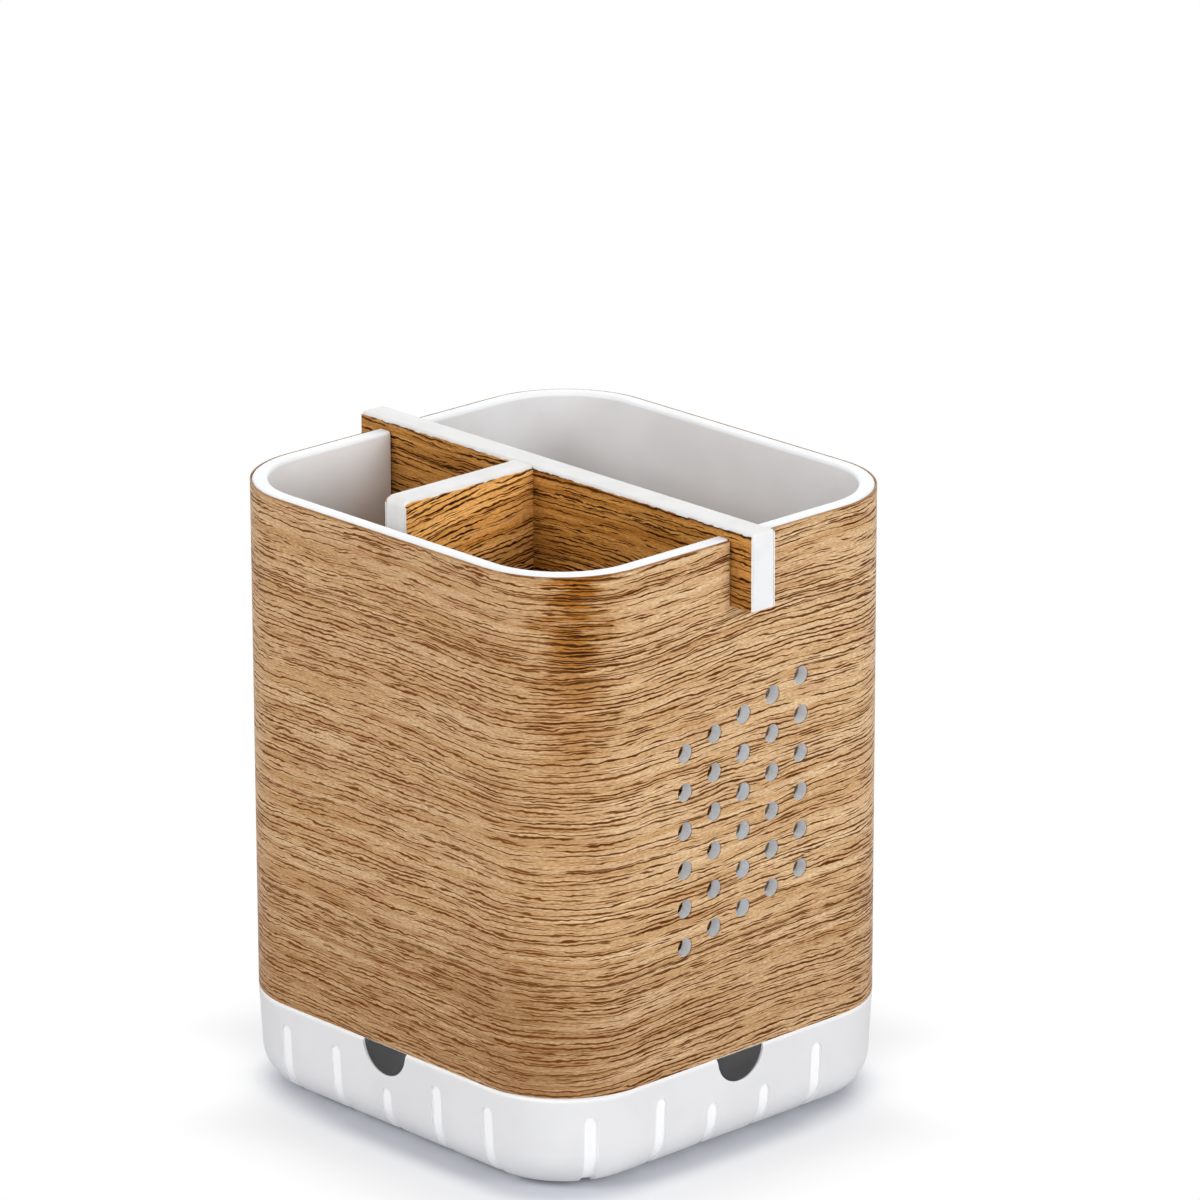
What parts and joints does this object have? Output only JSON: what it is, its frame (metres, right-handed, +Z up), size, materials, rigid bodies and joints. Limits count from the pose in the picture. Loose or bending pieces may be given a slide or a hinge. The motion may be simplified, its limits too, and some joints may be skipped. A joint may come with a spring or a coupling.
{
  "type": "toothbrush holder",
  "caption": "Wood-look toothbrush holder: a rounded cup with a lift-out T divider and a vented wall, standing in a white fluted drip tray.",
  "frame": {"origin": "middle of the footprint, on the surface that the holder stands on", "axes": "+Z up; the plain long side of the cup faces -Y and the side with the vent holes faces +X"},
  "size_m": [0.1114, 0.0966, 0.1276],
  "materials": {
    "white_cup": "satin moulded",
    "wood_film": "satin printed wood grain",
    "white_tray": "fine matt moulded",
    "pad_rubber": "matt",
    "white_board": "smooth cut edge",
    "divider_film": "satin printed wood grain"
  },
  "bodies": {
    "tray": {"base_tray": "white_tray", "nonslip_pad_1": "pad_rubber", "nonslip_pad_2": "pad_rubber", "nonslip_pad_3": "pad_rubber", "nonslip_pad_4": "pad_rubber"},
    "cup": {"cup_shell": "white_cup", "cup_wood_film": "wood_film"},
    "divider": {"long_divider": "white_board", "long_divider_front_film": "divider_film", "long_divider_back_film": "divider_film", "cross_divider": "white_board", "cross_divider_left_film": "divider_film", "cross_divider_right_film": "divider_film"}
  },
  "joints": [
    {"name": "cup_lift", "type": "slide", "parent": "tray", "child": "cup", "axis": [0, 0, 1], "range_m": [0, 0.03]},
    {"name": "divider_lift", "type": "slide", "parent": "cup", "child": "divider", "axis": [0, 0, 1], "range_m": [0, 0.105]}
  ]
}
